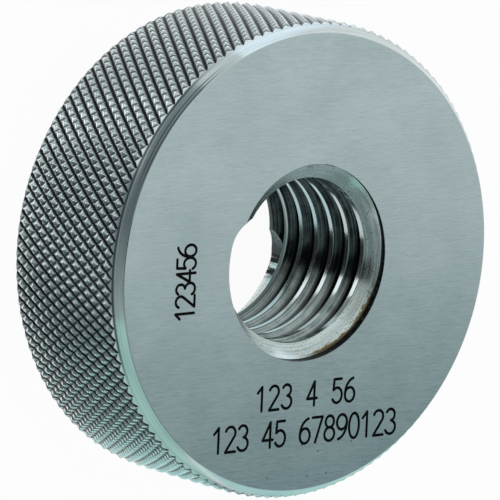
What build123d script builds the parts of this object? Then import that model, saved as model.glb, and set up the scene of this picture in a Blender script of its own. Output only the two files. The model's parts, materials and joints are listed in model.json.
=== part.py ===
from build123d import *
from build123d.topology import SkipClean
import math
import os

# Solid thread ring gauge for an M20 x 2.5 right-hand external thread.
# One turned, ground, knurled and threaded steel ring, all lengths in millimetres.
# The origin is the centre of the back face, +Z runs along the thread axis to the marked front face,
# and +X is the reading direction of the marks on the front face.

# --- The ring ---
OUTER_DIAMETER = 49.7  # over the crests of the knurled grip
WIDTH = 18.0  # from the back face to the front face
RIM_BAND_RADIAL = 0.7  # the chamfer's band beside the flat face, cut on the bare blank
RIM_BAND_AXIAL = 1.0
RIM_STRIP_RADIAL = 0.475  # a second strip beside the grip clears the burr off the knurl's ends
RIM_STRIP_AXIAL = 0.42

# --- The thread, ISO basic profile with a cleared root ---
THREAD_DIAMETER = 20.0
THREAD_PITCH = 2.5
FLANK_ANGLE = 60.0  # included
ROOT_FLAT_SHARE = 1 / 8  # of the pitch, at the thread diameter
CREST_FLAT_SHARE = 1 / 4  # of the pitch, at the bore
ROOT_CLEARANCE = 0.2  # the flanks run on this far outside the thread diameter, on the radius
THREAD_START_ANGLE = 10.9  # where a groove's middle crosses the back face, about +Z from +X

# --- The blunt starts: the feather-edged ridge over the last groove is milled away at each face ---
BLUNT_CLEARANCE = 0.25  # the wall that this leaves, outside the thread diameter, on the radius
BLUNT_CUTTER_DIAMETER = 7.0  # its side leaves a hollow end on the first whole ridge
FRONT_BLUNT_TURN = 276.0  # degrees of ridge taken off, counted from where the groove leaves the face
BACK_BLUNT_TURN = 328.0
BLUNT_FLOOR = 0.1  # how far the cutter keeps off the groove's middle where it stops

# --- How the helix is laid out ---
SECTORS = 4  # the ring and the helix are both made in this many equal parts of a turn
CUTTER_OVERSHOOT = 0.3  # how far the thread cutter reaches into the open bore

outer_radius = OUTER_DIAMETER / 2
thread_radius = THREAD_DIAMETER / 2
root_radius = thread_radius + ROOT_CLEARANCE
blunt_radius = thread_radius + BLUNT_CLEARANCE
blunt_cutter_radius = BLUNT_CUTTER_DIAMETER / 2
sector_angle = 360 / SECTORS
half_flank = math.tan(math.radians(FLANK_ANGLE / 2))
groove_at_bore = THREAD_PITCH * (1 - CREST_FLAT_SHARE)
groove_at_nominal = THREAD_PITCH * ROOT_FLAT_SHARE
groove_at_root = groove_at_nominal - 2 * ROOT_CLEARANCE * half_flank
bore_radius = thread_radius - (groove_at_bore - groove_at_nominal) / 2 / half_flank
open_radius = bore_radius - CUTTER_OVERSHOOT
face_exit_angle = THREAD_START_ANGLE + 360 * WIDTH / THREAD_PITCH


def ring_section():
    """Half of the ring's section in the XZ plane, with its bore still plain."""
    band_radius = outer_radius - RIM_STRIP_RADIAL
    face_radius = band_radius - RIM_BAND_RADIAL
    rim_height = RIM_BAND_AXIAL + RIM_STRIP_AXIAL
    return Polygon(
        (bore_radius, 0),
        (face_radius, 0),
        (band_radius, RIM_BAND_AXIAL),
        (outer_radius, rim_height),
        (outer_radius, WIDTH - rim_height),
        (band_radius, WIDTH - RIM_BAND_AXIAL),
        (face_radius, WIDTH),
        (bore_radius, WIDTH),
        align=None,
    )


def ring_blank():
    """The plain-bored ring, in equal sectors, so that each stretch of the thread's crest has its own face."""
    sector = revolve(Plane.XZ * ring_section(), Axis.Z, sector_angle)
    turned = [Rot(0, 0, sector_angle * count) * sector for count in range(1, SECTORS)]
    return sector.fuse(*turned)


def helical_cut(section, from_angle, turn):
    """A section of the XZ plane, swept along the thread's helix from an angle, through at least a turn."""
    rise = THREAD_PITCH / SECTORS
    stretches = math.ceil(turn / sector_angle)
    stretch = Edge.make_helix(THREAD_PITCH, rise, thread_radius)
    path = Wire([Pos(0, 0, rise * n) * Rot(0, 0, sector_angle * n) * stretch for n in range(stretches)])
    return at_helix(from_angle) * sweep(Plane.XZ * section, path=path, is_frenet=True)


def at_helix(angle):
    """The place on the groove's middle line at an angle, with X pointing out from the axis."""
    return Pos(0, 0, THREAD_PITCH * (angle - THREAD_START_ANGLE) / 360) * Rot(0, 0, angle)


def thread_groove():
    """One right-hand helical groove, from a turn below the back face to at least a turn above the front."""
    half_mouth = groove_at_bore / 2 + CUTTER_OVERSHOOT * half_flank
    section = Polygon(
        (open_radius, -half_mouth),
        (root_radius, -groove_at_root / 2),
        (root_radius, groove_at_root / 2),
        (open_radius, half_mouth),
        align=None,
    )
    first = THREAD_START_ANGLE - 360
    return helical_cut(section, first, face_exit_angle + 360 - first)


def blunt_section(turn, side):
    """What the blunt start's cutter clears, from the groove's middle to just past the face on that side."""
    reach = side * (THREAD_PITCH * turn / 360 + BLUNT_FLOOR)
    return Polygon(
        (open_radius, 0),
        (blunt_radius, 0),
        (blunt_radius, reach),
        (open_radius, reach),
        align=None,
    )


def blunt_end(angle, side):
    """The cutter itself, standing where it stopped."""
    length = WIDTH / 2
    cutter = Pos(0, 0, side * (BLUNT_FLOOR + length / 2)) * Cylinder(blunt_cutter_radius, length)
    return at_helix(angle) * Pos(blunt_radius - blunt_cutter_radius, 0, 0) * cutter


front_stop = face_exit_angle - FRONT_BLUNT_TURN
back_stop = THREAD_START_ANGLE + BACK_BLUNT_TURN

with SkipClean():  # cleaning would join the sectors again
    gauge_ring = ring_blank().cut(thread_groove()).solid()
    gauge_ring = gauge_ring.cut(helical_cut(blunt_section(FRONT_BLUNT_TURN, 1), front_stop, 360)).solid()
    gauge_ring = gauge_ring.cut(helical_cut(blunt_section(BACK_BLUNT_TURN, -1), back_stop - 360, 360)).solid()
    gauge_ring = gauge_ring.cut(blunt_end(front_stop, 1)).solid()
    gauge_ring = gauge_ring.cut(blunt_end(back_stop, -1)).solid()

os.makedirs("parts", exist_ok=True)
export_step(gauge_ring, "parts/gauge_ring.step")
print("gauge_ring", round(gauge_ring.volume, 1), "mm3, valid:", gauge_ring.is_valid)
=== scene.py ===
import json
import math

import bmesh
import bpy
import numpy as np
from mathutils import Matrix, Vector

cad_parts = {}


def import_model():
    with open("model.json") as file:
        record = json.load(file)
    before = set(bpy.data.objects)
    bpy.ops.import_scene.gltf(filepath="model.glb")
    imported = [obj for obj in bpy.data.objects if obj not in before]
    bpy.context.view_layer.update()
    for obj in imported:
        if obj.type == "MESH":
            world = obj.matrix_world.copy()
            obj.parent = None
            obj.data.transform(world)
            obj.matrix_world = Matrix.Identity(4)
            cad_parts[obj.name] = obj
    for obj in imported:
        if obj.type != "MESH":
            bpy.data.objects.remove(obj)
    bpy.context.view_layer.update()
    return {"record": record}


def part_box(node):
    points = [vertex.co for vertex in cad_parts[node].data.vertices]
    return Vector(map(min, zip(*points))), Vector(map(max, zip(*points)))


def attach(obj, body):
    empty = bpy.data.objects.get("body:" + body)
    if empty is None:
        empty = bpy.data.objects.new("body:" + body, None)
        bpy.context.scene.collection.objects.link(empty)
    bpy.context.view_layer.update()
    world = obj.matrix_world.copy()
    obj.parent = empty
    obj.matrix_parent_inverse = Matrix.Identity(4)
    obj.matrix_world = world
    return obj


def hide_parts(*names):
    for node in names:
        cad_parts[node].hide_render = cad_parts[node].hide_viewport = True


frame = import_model()

MM = 0.001
NODE = "gauge_ring"

# ---------------------------------------------------------------- sizes, in metres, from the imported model
low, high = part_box(NODE)
mounts = {mount["name"]: mount for mount in frame["record"]["mounts"]}
OUTER_RADIUS = high[0]
WIDTH = high[2]
BORE_RADIUS = mounts["thread"]["dims"]["r_mm"] * MM

# the rim's two-step chamfer, as in the solid
RIM_BAND_RADIAL = 0.7 * MM
RIM_BAND_AXIAL = 1.0 * MM
RIM_STRIP_RADIAL = 0.475 * MM
RIM_STRIP_AXIAL = 0.42 * MM
BAND_RADIUS = OUTER_RADIUS - RIM_STRIP_RADIAL
FACE_RADIUS = BAND_RADIUS - RIM_BAND_RADIAL
RIM_HEIGHT = RIM_BAND_AXIAL + RIM_STRIP_AXIAL
EDGE_BREAK = 0.04 * MM  # the stoned corner between two turned or ground faces

# the thread
THREAD_RADIUS = 10.0 * MM
ROOT_RADIUS = 10.2 * MM
PITCH = 2.5 * MM
HALF_FLANK = math.tan(math.radians(30))
THREAD_START = 10.9  # degrees about Z from X, where a groove's middle crosses the back face
CREST_BREAK = 0.04 * MM

# the blunt starts: the ridge over the last groove is milled off at each face
BLUNT_RADIUS = 10.25 * MM
BLUNT_CUTTER_RADIUS = 3.5 * MM
FRONT_BLUNT_TURN = 276.0
BACK_BLUNT_TURN = 328.0

# the knurl: two crossing sets of V grooves, each a helix repeated round the rim
KNURL_STARTS = 120
STEEP_AXIAL_PITCH = 2.073 * MM  # along the axis, of the deeper set
SHALLOW_AXIAL_PITCH = 1.944 * MM
STEEP_DEPTH = 0.44 * MM
SHALLOW_DEPTH = 0.33 * MM
LAND_SHARE = 0.03  # of the relief, worn flat at the top of each diamond
STEEP_PHASE = -0.167
LATTICE_SHIFT = 0.028 * MM
KNURL_SPLITS = 6  # mesh steps along each side of a diamond
KNURL_MESH_SHARE = 0.8  # of the knurl's triangles, kept; the rest lie in its flat facets
KNURL_MARGIN = 0.6 * MM  # plain length left at each end, all inside the chamfers

TURN_STEPS = 360
THREAD_STEPS = 180

# the marks on the front face
STROKE = 0.31 * MM
MARK_DEPTH = 0.05 * MM
MARKS = [
    # text, middle of the line, cap height, advance, turn in degrees
    ("123 4 56", (0.49 * MM, -13.76 * MM), 2.5 * MM, 1.67 * MM, 0),
    ("123 45 67890123", (0.59 * MM, -17.6 * MM), 2.62 * MM, 1.63 * MM, 0),
    ("123456", (-15.79 * MM, -0.88 * MM), 2.39 * MM, 1.3 * MM, 90),
]


# ---------------------------------------------------------------- mesh helpers
def new_object(name, points, faces):
    mesh = bpy.data.meshes.new(name)
    mesh.from_pydata([tuple(p) for p in points], [], [tuple(f) for f in faces])
    mesh.validate()
    mesh.update()
    piece = bpy.data.objects.new(name, mesh)
    bpy.context.scene.collection.objects.link(piece)
    return piece


def fix_outside(piece):
    """Turns every face outwards."""
    work = bmesh.new()
    work.from_mesh(piece.data)
    bmesh.ops.recalc_face_normals(work, faces=work.faces)
    work.to_mesh(piece.data)
    work.free()
    return piece


def apply_modifiers(piece):
    """Makes what a piece's modifiers do final."""
    graph = bpy.context.evaluated_depsgraph_get()
    result = bpy.data.meshes.new_from_object(piece.evaluated_get(graph))
    piece.modifiers.clear()
    old = piece.data
    piece.data = result
    bpy.data.meshes.remove(old)


def thinned(piece, share):
    """Takes the mesh down to a share of its triangles, where it is flattest."""
    piece.modifiers.new("step", "DECIMATE").ratio = share
    apply_modifiers(piece)
    return piece


def apply_boolean(piece, tool, operation):
    """Cuts, joins or keeps the common part of two closed meshes, and removes the tool."""
    step = piece.modifiers.new("step", "BOOLEAN")
    step.object = tool
    step.operation = operation
    step.solver = "MANIFOLD"
    apply_modifiers(piece)
    tool_mesh = tool.data
    bpy.data.objects.remove(tool)
    bpy.data.meshes.remove(tool_mesh)


def turned(name, outline, steps):
    """A closed outline of (radius, height) points, turned once round Z."""
    count = len(outline)
    angles = np.arange(steps) * 2 * math.pi / steps
    r = np.array([p[0] for p in outline])
    z = np.array([p[1] for p in outline])
    points = np.stack(
        [
            np.outer(np.cos(angles), r),
            np.outer(np.sin(angles), r),
            np.tile(z, (steps, 1)),
        ],
        -1,
    ).reshape(-1, 3)
    faces = []
    for i in range(steps):
        here, there = i * count, (i + 1) % steps * count
        for j in range(count):
            k = (j + 1) % count
            faces.append((here + j, there + j, there + k, here + k))
    return fix_outside(new_object(name, points, faces))


def swept(name, sections):
    """A closed bar through rings of points that all have the same count."""
    count = len(sections[0])
    points = [p for section in sections for p in section]
    faces = []
    for i in range(len(sections) - 1):
        here, there = i * count, (i + 1) * count
        for j in range(count):
            k = (j + 1) % count
            faces.append((here + j, here + k, there + k, there + j))
    last = (len(sections) - 1) * count
    faces.append(tuple(reversed(range(count))))
    faces.append(tuple(last + j for j in range(count)))
    return fix_outside(new_object(name, points, faces))


def broken_corner(before, corner, after, size):
    """The two points that replace a corner of an outline when its edge is broken."""
    corner = Vector(corner)
    one = corner + (Vector(before) - corner).normalized() * size
    two = corner + (Vector(after) - corner).normalized() * size
    return [tuple(one), tuple(two)]


# ---------------------------------------------------------------- the ring's shapes
def ring_outline():
    corners = [
        (BORE_RADIUS, 0),
        (FACE_RADIUS, 0),
        (BAND_RADIUS, RIM_BAND_AXIAL),
        (OUTER_RADIUS, RIM_HEIGHT),
        (OUTER_RADIUS, WIDTH - RIM_HEIGHT),
        (BAND_RADIUS, WIDTH - RIM_BAND_AXIAL),
        (FACE_RADIUS, WIDTH),
        (BORE_RADIUS, WIDTH),
    ]
    sharp = {2, 3, 4, 5}
    outline = []
    for i, corner in enumerate(corners):
        if i in sharp:
            outline.append(corner)
        else:
            after = corners[(i + 1) % len(corners)]
            outline += broken_corner(corners[i - 1], corner, after, EDGE_BREAK)
    return outline


def groove(phase, depth, land):
    """Depth of a V groove that repeats once for each whole phase, with a flat land between."""
    away = np.abs(phase - np.round(phase)) * 2
    return depth * np.clip(1 - away / (1 - land), 0, 1)


def knurled_bar():
    """A bar with the knurl on it, a little longer than the ring. Its mesh follows the grooves' own lattice."""
    row_height = 1 / (1 / STEEP_AXIAL_PITCH + 1 / SHALLOW_AXIAL_PITCH) / KNURL_SPLITS
    around = KNURL_STARTS * KNURL_SPLITS
    first = math.ceil((KNURL_MARGIN - LATTICE_SHIFT) / row_height)
    last = math.floor((WIDTH - KNURL_MARGIN - LATTICE_SHIFT) / row_height)
    step = np.arange(around)
    rings = []
    for row in range(first, last + 1):
        z = row * row_height + LATTICE_SHIFT
        steep = step / KNURL_SPLITS
        shallow = (step + row) / KNURL_SPLITS
        angle = 2 * math.pi / KNURL_STARTS * (steep + z / STEEP_AXIAL_PITCH + STEEP_PHASE)
        depth = np.maximum(
            groove(steep, STEEP_DEPTH, LAND_SHARE),
            groove(shallow, SHALLOW_DEPTH, LAND_SHARE),
        )
        radius = OUTER_RADIUS - depth
        rings.append(np.stack([radius * np.cos(angle), radius * np.sin(angle), np.full(around, z)], -1))
    ends = []
    for ring, z in ((rings[0], -1 * MM), (rings[-1], WIDTH + 1 * MM)):
        angle = np.arctan2(ring[:, 1], ring[:, 0])
        ends.append(
            np.stack([OUTER_RADIUS * np.cos(angle), OUTER_RADIUS * np.sin(angle), np.full(around, z)], -1)
        )
    rings = [ends[0]] + rings + [ends[1]]
    points = np.concatenate(rings + [[[0, 0, -1 * MM]], [[0, 0, WIDTH + 1 * MM]]])
    faces = []
    for row in range(len(rings) - 1):
        here, there = row * around, (row + 1) * around
        for i in range(around):
            j = (i + 1) % around
            faces.append((here + i, here + j, there + i))
            faces.append((here + j, there + j, there + i))
    bottom, top = len(rings) * around, len(rings) * around + 1
    end = (len(rings) - 1) * around
    for i in range(around):
        j = (i + 1) % around
        faces.append((bottom, j, i))
        faces.append((top, end + i, end + j))
    return thinned(fix_outside(new_object("knurled_bar", points, faces)), KNURL_MESH_SHARE)


def helix_height(degrees):
    """Height of the groove's middle at an angle, counted on from where it crosses the back face."""
    return PITCH * (degrees - THREAD_START) / 360


def at_angle(degrees, section):
    """Carries (radius, height) points to an angle about Z."""
    turn = math.radians(degrees)
    return [(r * math.cos(turn), r * math.sin(turn), h) for r, h in section]


def thread_cutter():
    """One helical groove with broken crests and a rounded root, longer than the ring."""
    crest_half = PITCH * 3 / 8
    root_half = crest_half - (ROOT_RADIUS - BORE_RADIUS) * HALF_FLANK
    half = [
        (BORE_RADIUS - 0.3 * MM, crest_half + CREST_BREAK),
        (BORE_RADIUS, crest_half + CREST_BREAK),
        (BORE_RADIUS + CREST_BREAK, crest_half - CREST_BREAK * HALF_FLANK),
        (ROOT_RADIUS - 0.05 * MM, root_half + 0.05 * MM * HALF_FLANK),
        (ROOT_RADIUS, root_half * 0.5),
    ]
    section = [(r, -h) for r, h in half] + [(r, h) for r, h in reversed(half)]
    degrees = THREAD_START - 360
    sections = []
    while degrees < THREAD_START + 360 * (WIDTH / PITCH + 1):
        height = helix_height(degrees)
        sections.append(at_angle(degrees, [(r, height + h) for r, h in section]))
        degrees += 360 / THREAD_STEPS
    return swept("thread_cutter", sections)


def blunt_cutter(stop, side):
    """What is milled off towards one face, from where the cutter stopped round to where the groove leaves."""
    centre = BLUNT_RADIUS - BLUNT_CUTTER_RADIUS
    inner = BORE_RADIUS - 0.4 * MM
    sections = []
    angle = stop - side * 25
    for i in range(400):
        away = math.radians(stop - angle) * side
        outer = BLUNT_RADIUS
        if away > 0:
            reach = BLUNT_CUTTER_RADIUS**2 - (centre * math.sin(away)) ** 2
            outer = centre * math.cos(away) + math.sqrt(max(reach, 0))
        if outer > inner + 0.1 * MM:
            height = helix_height(angle)
            top = height + side * PITCH
            section = [(inner, height), (outer, height), (outer, top), (inner, top)]
            sections.append(at_angle(angle, section))
        if abs(angle - stop) > 355:
            break
        angle += side * (1 if away > -math.radians(1) else 2)
    return swept("blunt_cutter", sections)


# ---------------------------------------------------------------- the marks: plain running digits
def curve(cx, cy, rx, ry, start, end, steps=14):
    angles = np.radians(np.linspace(start, end, steps))
    return [(cx + rx * math.cos(a), cy + ry * math.sin(a)) for a in angles]


def digit(character):
    """Strokes of a digit in a cell half as wide as it is high: (points, whether they close)."""
    if character == "0":
        return [(curve(0.25, 0.5, 0.25, 0.5, 0, 345, 24), True)]
    if character == "1":
        return [([(0.06, 0.76), (0.28, 1)], False), ([(0.28, 1), (0.28, 0)], False)]
    if character == "2":
        return [
            (curve(0.25, 0.75, 0.24, 0.25, 160, -38) + [(0.01, 0)], False),
            ([(0.01, 0), (0.5, 0)], False),
        ]
    if character == "3":
        return [
            (curve(0.24, 0.765, 0.22, 0.235, 150, -80), False),
            (curve(0.24, 0.27, 0.26, 0.27, 80, -155), False),
        ]
    if character == "4":
        return [
            ([(0.37, 1), (0, 0.3)], False),
            ([(0, 0.3), (0.5, 0.3)], False),
            ([(0.37, 1), (0.37, 0)], False),
        ]
    if character == "5":
        return [
            ([(0.46, 1), (0.08, 1)], False),
            ([(0.08, 1), (0.05, 0.55)], False),
            (curve(0.24, 0.32, 0.26, 0.32, 134, -150), False),
        ]
    if character == "6":
        return [
            (curve(0.25, 0.3, 0.25, 0.3, 0, 345, 20), True),
            (curve(0.5, 0.33, 0.5, 0.66, 180, 100, 10), False),
        ]
    if character == "7":
        return [([(0, 1), (0.5, 1)], False), ([(0.5, 1), (0.16, 0)], False)]
    if character == "8":
        return [
            (curve(0.25, 0.765, 0.21, 0.235, 0, 345, 20), True),
            (curve(0.25, 0.27, 0.25, 0.27, 0, 345, 20), True),
        ]
    turned_six = digit("6")
    return [([(0.5 - x, 1 - y) for x, y in points], closed) for points, closed in turned_six]


def stroke_prism(points, closed, bottom, top):
    """A stroke of the engraver's round tool, as a closed prism from one height to another."""
    path = [Vector(p) for p in points]
    count = len(path)
    left, right = [], []
    for i, point in enumerate(path):
        before = path[i - 1] if (closed or i > 0) else point
        after = path[(i + 1) % count] if (closed or i < count - 1) else point
        along = (after - before).normalized()
        side = Vector((-along.y, along.x)) * STROKE / 2
        left.append(point + side)
        right.append(point - side)
    if closed:
        rings = []
        for a, b in zip(left, right):
            rings.append([(*a, bottom), (*b, bottom), (*b, top), (*a, top)])
        flat = [p for ring in rings for p in ring]
        faces = []
        for i in range(count):
            here, there = i * 4, (i + 1) % count * 4
            for j in range(4):
                k = (j + 1) % 4
                faces.append((here + j, there + j, there + k, here + k))
        return fix_outside(new_object("stroke", flat, faces))

    def cap(centre, start):
        base = math.atan2(*(start - centre).yx)
        return [
            centre + Vector((math.cos(base + a), math.sin(base + a))) * STROKE / 2
            for a in np.linspace(0, math.pi, 7)[1:-1]
        ]

    outline = right + cap(path[-1], right[-1]) + list(reversed(left)) + cap(path[0], left[0])
    total = len(outline)
    flat = [(*p, bottom) for p in outline] + [(*p, top) for p in outline]
    faces = [(i, (i + 1) % total, total + (i + 1) % total, total + i) for i in range(total)]
    # the two ends of the prism, as strips between the sides and fans over the caps
    reach = len(cap(path[0], left[0]))
    for level in (0, total):
        for i in range(count - 1):
            j = 2 * count + reach - 1 - i
            faces.append((level + i, level + i + 1, level + j - 1, level + j))
        faces.append(tuple(level + k for k in range(count - 1, count + reach + 1)))
        faces.append(tuple(level + k % total for k in range(2 * count + reach - 1, total + 1)))
    return fix_outside(new_object("stroke", flat, faces))


def engrave(piece):
    """Cuts the marks into the front face."""
    for text, middle, height, advance, degrees in MARKS:
        turn = Matrix.Rotation(math.radians(degrees), 2)
        span = (len(text) - 1) * advance + 0.5 * height
        tools = [None, None]
        for place, character in enumerate(text):
            if character == " ":
                continue
            corner = Vector((place * advance - span / 2, -height / 2))
            for strokes, (points, closed) in enumerate(digit(character)):
                line = [turn @ (corner + Vector(p) * height) + Vector(middle) for p in points]
                prism = stroke_prism(line, closed, WIDTH - MARK_DEPTH, WIDTH + 0.1 * MM)
                if tools[0] is None:
                    tools[0] = prism
                else:
                    apply_boolean(tools[0], prism, "UNION")
        apply_boolean(piece, tools[0], "DIFFERENCE")


ring = turned("ring_body", ring_outline(), TURN_STEPS)
apply_boolean(ring, knurled_bar(), "INTERSECT")
apply_boolean(ring, thread_cutter(), "DIFFERENCE")
front_stop = THREAD_START + 360 * WIDTH / PITCH - FRONT_BLUNT_TURN
back_stop = THREAD_START + BACK_BLUNT_TURN
apply_boolean(ring, blunt_cutter(front_stop, 1), "DIFFERENCE")
apply_boolean(ring, blunt_cutter(back_stop, -1), "DIFFERENCE")
engrave(ring)
print("ring triangles", sum(len(p.vertices) - 2 for p in ring.data.polygons))

ring.data.shade_smooth()
ring.data.set_sharp_from_angle(angle=math.radians(20))

# ---------------------------------------------------------------- materials
def make(tree, kind, inputs=None, **settings):
    """Adds a node. An input is either another node's socket or a plain value."""
    node = tree.nodes.new("ShaderNode" + kind)
    for name, value in settings.items():
        setattr(node, name, value)
    for name, value in (inputs or {}).items():
        if isinstance(value, bpy.types.NodeSocket):
            tree.links.new(value, node.inputs[name])
        else:
            node.inputs[name].default_value = value
    return node


def sum_of(tree, operation, a, b=0.0, c=0.0, clamp=False):
    return make(tree, "Math", {0: a, 1: b, 2: c}, operation=operation, use_clamp=clamp).outputs[0]


def blend(tree, factor, one, two):
    """A colour between two, by a factor."""
    node = make(tree, "Mix", {0: factor}, data_type="RGBA")
    for place, colour in ((6, one), (7, two)):
        if isinstance(colour, bpy.types.NodeSocket):
            tree.links.new(colour, node.inputs[place])
        else:
            node.inputs[place].default_value = (*colour, 1)
    return node.outputs[2]


def spread(tree, value, low_in, high_in, low_out=0.0, high_out=1.0):
    """Carries a range of values to another, smoothly and without going past its ends."""
    inputs = {0: value, 1: low_in, 2: high_in, 3: low_out, 4: high_out}
    return make(tree, "MapRange", inputs, interpolation_type="SMOOTHSTEP").outputs[0]


def noise(tree, place, scale=1.0, detail=2.0, roughness=0.5):
    inputs = {"Vector": place, "Scale": scale, "Detail": detail, "Roughness": roughness}
    return make(tree, "TexNoise", inputs).outputs["Fac"]


class Places:
    """Where a point of the ring is, in millimetres: x, y, z, radius, and turn about the axis in degrees."""

    def __init__(self, tree):
        self.tree = tree
        coordinates = make(tree, "TexCoord").outputs["Object"]
        scaled = make(tree, "VectorMath", {0: coordinates, 3: 1000.0}, operation="SCALE").outputs[0]
        self.point = scaled
        axes = make(tree, "SeparateXYZ", {0: scaled}).outputs
        self.x, self.y, self.z = axes[0], axes[1], axes[2]
        squares = sum_of(tree, "MULTIPLY_ADD", self.y, self.y, sum_of(tree, "MULTIPLY", self.x, self.x))
        self.radius = sum_of(tree, "SQRT", squares)
        radians = sum_of(tree, "ARCTAN2", self.y, self.x)
        self.degrees = sum_of(tree, "MULTIPLY", radians, 180 / math.pi)

    def vector(self, a, b, c, scales):
        parts = [sum_of(self.tree, "MULTIPLY", part, scale) for part, scale in zip((a, b, c), scales)]
        return make(self.tree, "CombineXYZ", {0: parts[0], 1: parts[1], 2: parts[2]}).outputs[0]

    def from_angle(self, degrees):
        """Degrees away from an angle, either way round."""
        away = sum_of(self.tree, "SUBTRACT", self.degrees, degrees)
        return sum_of(self.tree, "ABSOLUTE", sum_of(self.tree, "WRAP", away, 180.0, -180.0))


def start_steel(name):
    material = bpy.data.materials.new(name)
    material.use_nodes = True
    tree = material.node_tree
    shader = tree.nodes["Principled BSDF"]
    shader.inputs["Metallic"].default_value = 1
    return material, tree, shader, Places(tree)


def roughen(tree, shader, height, distance, strength=1.0):
    bump = make(tree, "Bump", {"Strength": strength, "Distance": distance, "Height": height})
    tree.links.new(bump.outputs[0], shader.inputs["Normal"])


SPECKS = [(0.28, -19.04), (-4.17, -22.07), (1.13, -22.37), (3.64, -22.29), (6.81, -19.22), (2.45, -19.87)]


def ground_steel():
    """Surface ground along X: fine broken streaks, a slow cloudiness and a few specks of dirt."""
    material, tree, shader, at = start_steel("ground_steel")
    coarse = noise(tree, at.vector(at.x, at.y, at.z, (0.5, 7.0, 0.3)), 1.0, 3.0, 0.6)
    fine = noise(tree, at.vector(at.x, at.y, at.z, (1.2, 18.0, 0.3)), 1.0, 1.0, 0.5)
    cloud = noise(tree, at.point, 0.16, 2.0)
    streaks = sum_of(tree, "MULTIPLY_ADD", fine, 0.5, sum_of(tree, "MULTIPLY", coarse, 0.5))
    tone = sum_of(tree, "MULTIPLY_ADD", cloud, 0.25, sum_of(tree, "MULTIPLY", streaks, 0.75))
    colour = blend(tree, spread(tree, tone, 0.3, 0.7), (0.42, 0.53, 0.545), (0.585, 0.7, 0.71))
    for x, y in SPECKS:
        away = make(tree, "VectorMath", {0: at.point, 1: (x, y, WIDTH / MM)}, operation="DISTANCE").outputs[1]
        colour = blend(tree, spread(tree, away, 0.05, 0.13, 0.85, 0.0), colour, (0.02, 0.02, 0.02))
    tree.links.new(colour, shader.inputs["Base Color"])
    tree.links.new(spread(tree, streaks, 0.3, 0.7, 0.27, 0.36), shader.inputs["Roughness"])
    roughen(tree, shader, streaks, 0.002 * MM, 0.6)
    return material


def turned_steel():
    """The turned chamfers: fine rings, painted shade as a dark line in the crease where the two cuts meet, on one side
    only, and two scored lines by the face.
    """
    material, tree, shader, at = start_steel("turned_steel")
    rings = noise(tree, at.vector(at.radius, at.z, at.degrees, (9.0, 9.0, 0.012)), 1.0, 3.0, 0.6)
    drift = noise(tree, at.vector(at.radius, at.z, at.degrees, (1.2, 1.2, 0.06)), 1.0, 2.0)
    tone = sum_of(tree, "MULTIPLY_ADD", drift, 0.4, sum_of(tree, "MULTIPLY", rings, 0.6))
    colour = blend(tree, spread(tree, tone, 0.35, 0.65), (0.50, 0.57, 0.58), (0.69, 0.75, 0.745))
    # Painted shade: a dark line in the crease where the two cuts meet, only on the side round 165 degrees.
    line = sum_of(tree, "ABSOLUTE", sum_of(tree, "SUBTRACT", at.radius, BAND_RADIUS / MM))
    side = spread(tree, at.from_angle(165.0), 30.0, 48.0, 0.85, 0.1)
    line = sum_of(tree, "MULTIPLY", spread(tree, line, 0.04, 0.12, 1.0, 0.0), side)
    colour = blend(tree, line, colour, (0.05, 0.06, 0.08))
    scored = sum_of(tree, "SUBTRACT", at.radius, FACE_RADIUS / MM + 0.2)
    scored = sum_of(tree, "ABSOLUTE", sum_of(tree, "SUBTRACT", sum_of(tree, "ABSOLUTE", scored), 0.09))
    side = spread(tree, at.from_angle(138.0), 11.0, 22.0, 0.75, 0.0)
    scored = sum_of(tree, "MULTIPLY", spread(tree, scored, 0.02, 0.05, 1.0, 0.0), side)
    colour = blend(tree, scored, colour, (0.06, 0.07, 0.08))
    tree.links.new(colour, shader.inputs["Base Color"])
    tree.links.new(spread(tree, tone, 0.35, 0.65, 0.09, 0.18), shader.inputs["Roughness"])
    roughen(tree, shader, rings, 0.004 * MM, 0.7)
    return material


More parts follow.
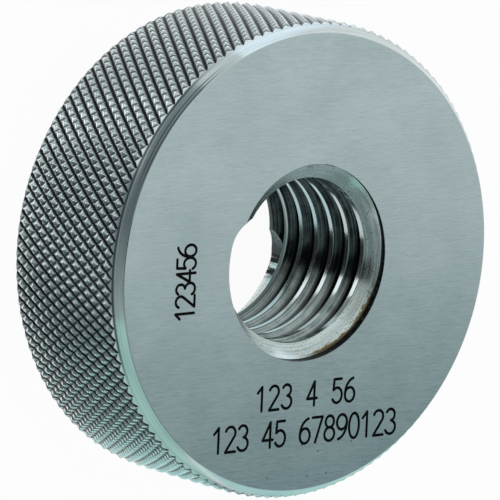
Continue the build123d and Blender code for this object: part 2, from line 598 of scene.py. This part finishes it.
def knurled_steel():
    """Tops and ridges painted bright, partly wear and partly painted highlight, and grooves painted dark, partly scale
    and old dirt and partly painted shade, the steep set most.
    """
    material, tree, shader, at = start_steel("knurled_steel")
    speckle = noise(tree, at.point, 9.0, 3.0, 0.65)
    patch = noise(tree, at.point, 0.7, 2.0)
    uneven = sum_of(tree, "MULTIPLY_ADD", speckle, 0.3, sum_of(tree, "MULTIPLY_ADD", patch, 0.06, -0.18))
    turns = sum_of(tree, "MULTIPLY", at.degrees, KNURL_STARTS / 360)
    lattice = LATTICE_SHIFT * (1 / STEEP_AXIAL_PITCH + 1 / SHALLOW_AXIAL_PITCH) + STEEP_PHASE
    depths = []
    for pitch, phase, depth in (
        (-STEEP_AXIAL_PITCH, STEEP_PHASE, STEEP_DEPTH),
        (SHALLOW_AXIAL_PITCH, lattice, SHALLOW_DEPTH),
    ):
        place = sum_of(tree, "SUBTRACT", sum_of(tree, "MULTIPLY_ADD", at.z, MM / pitch, turns), phase)
        away = sum_of(tree, "PINGPONG", place, 0.5)
        depths.append(sum_of(tree, "MULTIPLY_ADD", away, -2 * depth / MM, depth / MM))
    steep, shallow = depths
    deep = sum_of(tree, "ADD", sum_of(tree, "MAXIMUM", steep, shallow), uneven)
    ridge = sum_of(tree, "ABSOLUTE", sum_of(tree, "SUBTRACT", steep, shallow))
    facet = blend(tree, spread(tree, speckle, 0.4, 0.62), (0.33, 0.41, 0.41), (0.62, 0.7, 0.7))
    # Painted highlight, partly real wear: the tops and the ridges between facets are painted near white.
    wear_and_highlight = sum_of(tree, "MINIMUM", deep, sum_of(tree, "MULTIPLY_ADD", ridge, 1.3, 0.02))
    colour = blend(tree, spread(tree, wear_and_highlight, 0.04, 0.11), (0.95, 0.98, 0.99), facet)
    # Grooves darkened towards their bottoms: partly scale and old dirt, partly painted shade, the steep set most.
    steep_dirt_and_shade = spread(tree, sum_of(tree, "ADD", steep, uneven), 0.22, 0.35)
    shallow_dirt_and_shade = spread(tree, sum_of(tree, "ADD", shallow, uneven), 0.19, 0.32, 0.0, 0.8)
    dirt_and_shade = sum_of(tree, "MAXIMUM", steep_dirt_and_shade, shallow_dirt_and_shade)
    colour = blend(tree, dirt_and_shade, colour, (0.012, 0.014, 0.017))
    tree.links.new(colour, shader.inputs["Base Color"])
    tree.links.new(spread(tree, deep, 0.0, 0.3, 0.12, 0.34), shader.inputs["Roughness"])
    roughen(tree, shader, speckle, 0.02 * MM, 0.5)
    return material


def lapped_steel():
    """The thread's polished flanks and crests: fine marks along the helix, painted shade over one side, a painted
    highlight on the crests, and painted shade at the roots, deep crests and gaps between turns.
    """
    material, tree, shader, at = start_steel("lapped_steel")
    rise = sum_of(tree, "MULTIPLY", at.degrees, PITCH / MM / 360)
    along = sum_of(tree, "SUBTRACT", at.z, rise)
    lines = noise(tree, at.vector(along, at.radius, at.degrees, (7.0, 10.0, 0.01)), 1.0, 3.0, 0.6)
    blotch = noise(tree, at.point, 0.8, 3.0, 0.6)
    tone = sum_of(tree, "MULTIPLY_ADD", blotch, 0.3, sum_of(tree, "MULTIPLY", lines, 0.7))
    bare = blend(tree, spread(tree, tone, 0.4, 0.6), (0.17, 0.205, 0.205), (0.41, 0.47, 0.46))
    # Painted shade: the side of the bore round 75 degrees is painted much darker than the rest.
    shaded_side = blend(tree, spread(tree, tone, 0.4, 0.65), (0.03, 0.036, 0.037), (0.2, 0.25, 0.245))
    colour = blend(tree, spread(tree, at.from_angle(75.0), 92.0, 112.0, 1.0, 0.0), bare, shaded_side)
    crest = spread(tree, at.radius, BORE_RADIUS / MM + 0.02, BORE_RADIUS / MM + 0.07, 1.0, 0.0)
    whole = spread(tree, at.z, 3.5, 4.1)
    # Painted highlight: the crests are painted bright, except in the last 3.5 to 4.1 mm before the back face.
    colour = blend(tree, sum_of(tree, "MULTIPLY", crest, whole), colour, (0.5, 0.58, 0.59))
    # Painted shade: crests within about 3.5 mm of the back face and away from 75 degrees are painted dark.
    deep_crest_shade = sum_of(tree, "MULTIPLY", spread(tree, at.z, 3.5, 4.1, 1.0, 0.0), spread(tree, at.from_angle(75.0), 55.0, 75.0))
    colour = blend(tree, sum_of(tree, "MULTIPLY", crest, deep_crest_shade), colour, (0.1, 0.12, 0.12))
    # Painted shade: darkening towards the thread's root.
    corner = spread(tree, at.radius, ROOT_RADIUS / MM - 0.65, ROOT_RADIUS / MM - 0.1)
    colour = blend(tree, corner, colour, (0.05, 0.055, 0.055))
    # Painted shade: deep in the groove between turns, round -55 degrees, the flanks are painted dark.
    gap_shade = spread(tree, at.radius, BORE_RADIUS / MM + 0.4, BORE_RADIUS / MM + 0.8)
    gap_shade = sum_of(tree, "MULTIPLY", gap_shade, spread(tree, at.z, 2.3, 2.8))
    gap_shade = sum_of(tree, "MULTIPLY", gap_shade, spread(tree, at.from_angle(-55.0), 50.0, 70.0, 0.9, 0.0))
    colour = blend(tree, gap_shade, colour, (0.035, 0.04, 0.04))
    tree.links.new(colour, shader.inputs["Base Color"])
    tree.links.new(spread(tree, tone, 0.35, 0.65, 0.09, 0.17), shader.inputs["Roughness"])
    roughen(tree, shader, lines, 0.004 * MM, 0.6)
    return material


def residue(tree, at, inner):
    """How much of a spot near the front blunt start's corner dried oil covers."""
    cloud = noise(tree, at.vector(at.radius, at.z, at.degrees, (5.0, 5.0, 0.2)), 1.0, 5.0, 0.8)
    reach = sum_of(tree, "MULTIPLY_ADD", cloud, 1.4, sum_of(tree, "SUBTRACT", at.radius, inner + 0.85))
    near = spread(tree, at.from_angle(-49.0), 22.0, 42.0, 1.0, 0.0)
    return sum_of(tree, "MULTIPLY", sum_of(tree, "MULTIPLY", spread(tree, reach, 0.0, 0.15), near), spread(tree, at.z, 8.0, 9.0))


def milled_steel():
    """The last flank, left open by the blunt start: coarse marks round the bore, pits and a black striped patch by the
    back blunt start.
    """
    material, tree, shader, at = start_steel("milled_steel")
    marks = noise(tree, at.vector(at.radius, at.z, at.degrees, (7.0, 3.0, 0.006)), 1.0, 3.0, 0.7)
    grain = noise(tree, at.point, 5.0, 3.0, 0.6)
    pits = spread(tree, noise(tree, at.point, 6.5, 1.0), 0.63, 0.7)
    tone = sum_of(tree, "MULTIPLY_ADD", grain, 0.12, sum_of(tree, "MULTIPLY", marks, 0.88))
    colour = blend(tree, spread(tree, tone, 0.35, 0.65), (0.5, 0.58, 0.57), (0.7, 0.78, 0.76))
    colour = blend(tree, sum_of(tree, "MULTIPLY", pits, 0.7), colour, (0.12, 0.12, 0.11))
    # Painted black with stripes round -19 degrees, in the back half of the bore.
    stripes = noise(tree, at.vector(at.x, at.y, at.z, (3.0, 3.0, 0.3)), 1.0, 2.0)
    blotch = sum_of(tree, "MULTIPLY", spread(tree, at.from_angle(-19.0), 7.0, 13.0, 1.0, 0.0), spread(tree, at.z, 8.0, 9.0, 1.0, 0.0))
    blotch = sum_of(tree, "MULTIPLY", blotch, spread(tree, stripes, 0.35, 0.5))
    colour = blend(tree, blotch, colour, (0.02, 0.02, 0.02))
    colour = blend(tree, residue(tree, at, 9.75), colour, (0.15, 0.105, 0.035))
    tree.links.new(colour, shader.inputs["Base Color"])
    tree.links.new(spread(tree, tone, 0.35, 0.65, 0.13, 0.25), shader.inputs["Roughness"])
    roughen(tree, shader, tone, 0.01 * MM, 0.6)
    return material


def wall_steel():
    """The wall of the front blunt start, dark with scale, and brown where old oil has dried in its corner."""
    material, tree, shader, at = start_steel("wall_steel")
    scale = noise(tree, at.point, 3.0, 4.0, 0.65)
    colour = blend(tree, spread(tree, scale, 0.35, 0.7), (0.02, 0.021, 0.02), (0.12, 0.13, 0.125))
    brown = sum_of(tree, "MULTIPLY", residue(tree, at, 10.3), 0.6)
    colour = blend(tree, brown, colour, (0.2, 0.14, 0.045))
    flecks = spread(tree, noise(tree, at.point, 5.0, 2.0, 0.6), 0.62, 0.7, 0.0, 0.6)
    colour = blend(tree, flecks, colour, (0.5, 0.52, 0.5))
    tree.links.new(colour, shader.inputs["Base Color"])
    tree.links.new(spread(tree, scale, 0.35, 0.7, 0.35, 0.55), shader.inputs["Roughness"])
    roughen(tree, shader, scale, 0.02 * MM, 0.6)
    return material


def mark_black():
    """Electrically etched marks, black and slightly uneven."""
    material, tree, shader, at = start_steel("mark_black")
    uneven = noise(tree, at.point, 7.0, 3.0, 0.6)
    colour = blend(tree, spread(tree, uneven, 0.35, 0.65), (0.003, 0.003, 0.003), (0.014, 0.014, 0.013))
    tree.links.new(colour, shader.inputs["Base Color"])
    tree.links.new(spread(tree, uneven, 0.35, 0.65, 0.45, 0.65), shader.inputs["Roughness"])
    roughen(tree, shader, uneven, 0.01 * MM, 0.5)
    return material


GROUND, TURNED, KNURL, LAPPED, MILLED, WALL, MARK = range(7)


def surface_kind(centre, normal):
    """Which finish a face of the ring has, from where it is and which way it looks."""
    radius = math.hypot(centre.x, centre.y)
    outward = (centre.x * normal.x + centre.y * normal.y) / max(radius, 1e-9)
    if radius < BLUNT_RADIUS + 0.02 * MM:
        degrees = math.degrees(math.atan2(centre.y, centre.x))
        turns = (centre.z - helix_height(degrees)) / PITCH
        if outward < -0.9 and radius > ROOT_RADIUS - 0.05 * MM:
            return WALL if centre.z > WIDTH / 2 else MILLED
        on_flank = normal.z > 0.6 and outward < -0.3
        exit_turn = helix_height(front_stop - 25)
        if on_flank and centre.z > exit_turn and abs(normal.z) < 0.99:
            last = centre.z + (ROOT_RADIUS - radius) * HALF_FLANK
            level = round((last - helix_height(degrees)) / PITCH) * 360 + degrees
            if level > front_stop - 25:
                return MILLED
        if radius < BLUNT_RADIUS - 0.01 * MM and abs(normal.z) < 0.99:
            return LAPPED
    if abs(normal.z) > 0.97:
        if MARK_DEPTH * 0.5 < WIDTH - centre.z < MARK_DEPTH * 1.5:
            return MARK
        return GROUND
    if WIDTH - centre.z < MARK_DEPTH * 1.2 and radius < FACE_RADIUS - 0.1 * MM:
        return MARK
    near_rim = min(centre.z, WIDTH - centre.z)
    if near_rim < 2 * EDGE_BREAK and radius < FACE_RADIUS + 2 * EDGE_BREAK:
        return TURNED
    if radius < BAND_RADIUS:
        rise = (radius - FACE_RADIUS) * RIM_BAND_AXIAL / RIM_BAND_RADIAL
    else:
        rise = RIM_BAND_AXIAL + (radius - BAND_RADIUS) * RIM_STRIP_AXIAL / RIM_STRIP_RADIAL
    if abs(near_rim - rise) < 0.02 * MM and outward > 0.5 and abs(normal.z) > 0.4:
        return TURNED
    return KNURL


ring.data.materials.clear()
for finish in (ground_steel, turned_steel, knurled_steel, lapped_steel, milled_steel, wall_steel, mark_black):
    ring.data.materials.append(finish())
for polygon in ring.data.polygons:
    polygon.material_index = surface_kind(polygon.center, polygon.normal)
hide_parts(NODE)
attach(ring, "root")

# ---------------------------------------------------------------- floor, light and camera
def floor():
    piece = new_object("floor", [(x, y, -0.01 * MM) for x, y in ((-2, -2), (2, -2), (2, 2), (-2, 2))], [(0, 1, 2, 3)])
    material = bpy.data.materials.new("floor")
    material.use_nodes = True
    nodes, links = material.node_tree.nodes, material.node_tree.links
    nodes.clear()
    output = nodes.new("ShaderNodeOutputMaterial")
    mix = nodes.new("ShaderNodeMixShader")
    matt = nodes.new("ShaderNodeBsdfDiffuse")
    matt.inputs["Color"].default_value = (0.9, 0.9, 0.9, 1)
    glow = nodes.new("ShaderNodeEmission")
    glow.inputs["Strength"].default_value = 1
    path = nodes.new("ShaderNodeLightPath")
    add = nodes.new("ShaderNodeMath")
    add.operation = "ADD"
    also = nodes.new("ShaderNodeMath")
    also.operation = "ADD"
    also.use_clamp = True
    seen = nodes.new("ShaderNodeMath")
    seen.operation = "MULTIPLY"
    seen.inputs[1].default_value = 0.95
    links.new(path.outputs["Is Camera Ray"], add.inputs[0])
    links.new(path.outputs["Is Glossy Ray"], add.inputs[1])
    links.new(add.outputs[0], also.inputs[0])
    links.new(path.outputs["Is Transmission Ray"], also.inputs[1])
    links.new(also.outputs[0], seen.inputs[0])
    links.new(seen.outputs[0], mix.inputs["Fac"])
    links.new(matt.outputs[0], mix.inputs[1])
    links.new(glow.outputs[0], mix.inputs[2])
    links.new(mix.outputs[0], output.inputs["Surface"])
    piece.data.materials.append(material)


def world():
    studio = bpy.data.worlds.new("studio")
    bpy.context.scene.world = studio
    studio.use_nodes = True
    background = studio.node_tree.nodes["Background"]
    background.inputs["Color"].default_value = (0.94, 1, 1, 1)
    background.inputs["Strength"].default_value = 0.75


def direction(azimuth, elevation):
    azimuth, elevation = math.radians(azimuth), math.radians(elevation)
    return Vector(
        (
            math.cos(elevation) * math.cos(azimuth),
            math.cos(elevation) * math.sin(azimuth),
            math.sin(elevation),
        )
    )


def card(name, azimuths, elevations, distance, colour, fade=None):
    """A curved studio card round the object, seen only in its reflections. It can fade to a colour, nearly along Y."""
    points = []
    for azimuth in np.linspace(*azimuths, 24):
        points += [direction(azimuth, elevation) * distance for elevation in elevations]
    glow_only(strip_of(name, points), colour, fade)


def mat(name, centre, azimuths, radii, colour):
    """A card that lies just over the floor, seen only in the object's reflections: it paints the floor's look there,
    dark ones as painted shade near the ring and under its bore, bright ones as painted highlights.
    """
    points = []
    for azimuth in np.linspace(*azimuths, 24):
        points += [direction(azimuth, 0) * radius + Vector((*centre, 0.3 * MM)) for radius in radii]
    glow_only(strip_of(name, points), colour)


def strip_of(name, points):
    """A strip of faces through pairs of points."""
    faces = [(i, i + 2, i + 3, i + 1) for i in range(0, len(points) - 2, 2)]
    return new_object(name, points, faces)


def glow_only(piece, colour, fade=None):
    material = bpy.data.materials.new(piece.name)
    material.use_nodes = True
    tree = material.node_tree
    tree.nodes.clear()
    output = make(tree, "OutputMaterial")
    glow = make(tree, "Emission", {"Color": (*colour, 1), "Strength": 1.0})
    if fade:
        place = make(tree, "SeparateXYZ", {0: make(tree, "TexCoord").outputs["Object"]}).outputs
        height = sum_of(tree, "MULTIPLY_ADD", place[0], -0.25, place[1])
        part = make(tree, "MapRange", {0: height, 1: fade[0], 2: fade[1]}).outputs[0]
        tree.links.new(blend(tree, part, colour, fade[2]), glow.inputs["Color"])
    tree.links.new(glow.outputs[0], output.inputs["Surface"])
    piece.data.materials.append(material)
    piece.visible_camera = False
    piece.visible_diffuse = False
    piece.visible_shadow = False


def camera():
    data = bpy.data.cameras.new("camera")
    data.sensor_width = 36
    data.lens = 489.3
    data.clip_start = 0.01
    holder = bpy.data.objects.new("camera", data)
    right = Vector((0.781297, 0.041620, 0.622765))
    up = Vector((0.072337, 0.985008, -0.156582))
    back = right.cross(up)
    turn = Matrix((right, up, back)).transposed()
    holder.matrix_world = Matrix.Translation((-0.43502, 0.11726, 0.54643)) @ turn.to_4x4()
    bpy.context.scene.collection.objects.link(holder)
    bpy.context.scene.camera = holder


floor()
world()
card("card_left", (104, 160), (-1, 30), 0.5, (0.148, 0.18, 0.192), (0.36, 0.52, (0.3, 0.36, 0.375)))
card("card_near", (160, 207), (-1, 30), 0.5, (0.38, 0.45, 0.43), (-0.125, 0.2, (0.148, 0.18, 0.192)))
card("card_back", (146, 206), (30, 61), 0.5, (0.26, 0.30, 0.32))
card("card_dim", (104, 166), (57, 84), 0.6, (0.48, 0.51, 0.49))
card("card_over", (166, 226), (60, 85), 0.6, (0.02, 0.022, 0.024))
card("card_side", (206, 250), (46, 74), 0.55, (0.22, 0.265, 0.27))
card("card_corner", (250, 335), (32, 74), 0.55, (0.22, 0.265, 0.27))
card("card_low", (207, 283), (-3, 32), 0.55, (0.45, 0.68, 0.62))
card("card_end", (283, 335), (-3, 40), 0.5, (0.35, 0.42, 0.44))
card("card_top", (35, 84), (-3, 25), 0.5, (1.14, 1.22, 1.32))
card("card_high", (98, 142), (31, 52), 0.5, (1.05, 1.1, 1.1))
card("card_face", (-75, 30), (26, 78), 0.13, (0.235, 0.3, 0.31), (-0.05, -0.032, (0.765, 0.762, 0.765)))
# Painted reflections of the floor: mat_dark and mat_bore_dark are painted shade round the ring and under its bore, and
# mat_bright and mat_bore_white glow brighter than white as painted highlights.
mat("mat_bright", (0, 0), (146, 162), (0.027, 0.1), (1.25, 1.3, 1.32))
mat("mat_pale", (0, 0), (75, 146), (0.027, 0.1), (0.62, 0.66, 0.69))
mat("mat_dark", (0, 0), (162, 228), (0.027, 0.2), (0.14, 0.18, 0.19))
mat("mat_teal", (0, 0), (228, 335), (0.027, 0.2), (0.53, 0.79, 0.77))
bore = (0.0055, -0.0005)
mat("mat_bore_dark", bore, (165, 218), (0.0003, 0.014), (0.02, 0.02, 0.02))
mat("mat_bore_teal", bore, (218, 350), (0.0003, 0.0055), (0.74, 0.88, 0.9))
mat("mat_bore_pale", bore, (-10, 105), (0.0003, 0.014), (0.7, 0.77, 0.78))
mat("mat_bore_grey", bore, (105, 142), (0.0003, 0.014), (0.3, 0.31, 0.31))
mat("mat_bore_white", bore, (142, 165), (0.0003, 0.014), (1.5, 1.5, 1.5))
camera()
bpy.context.scene.view_settings.view_transform = "Standard"
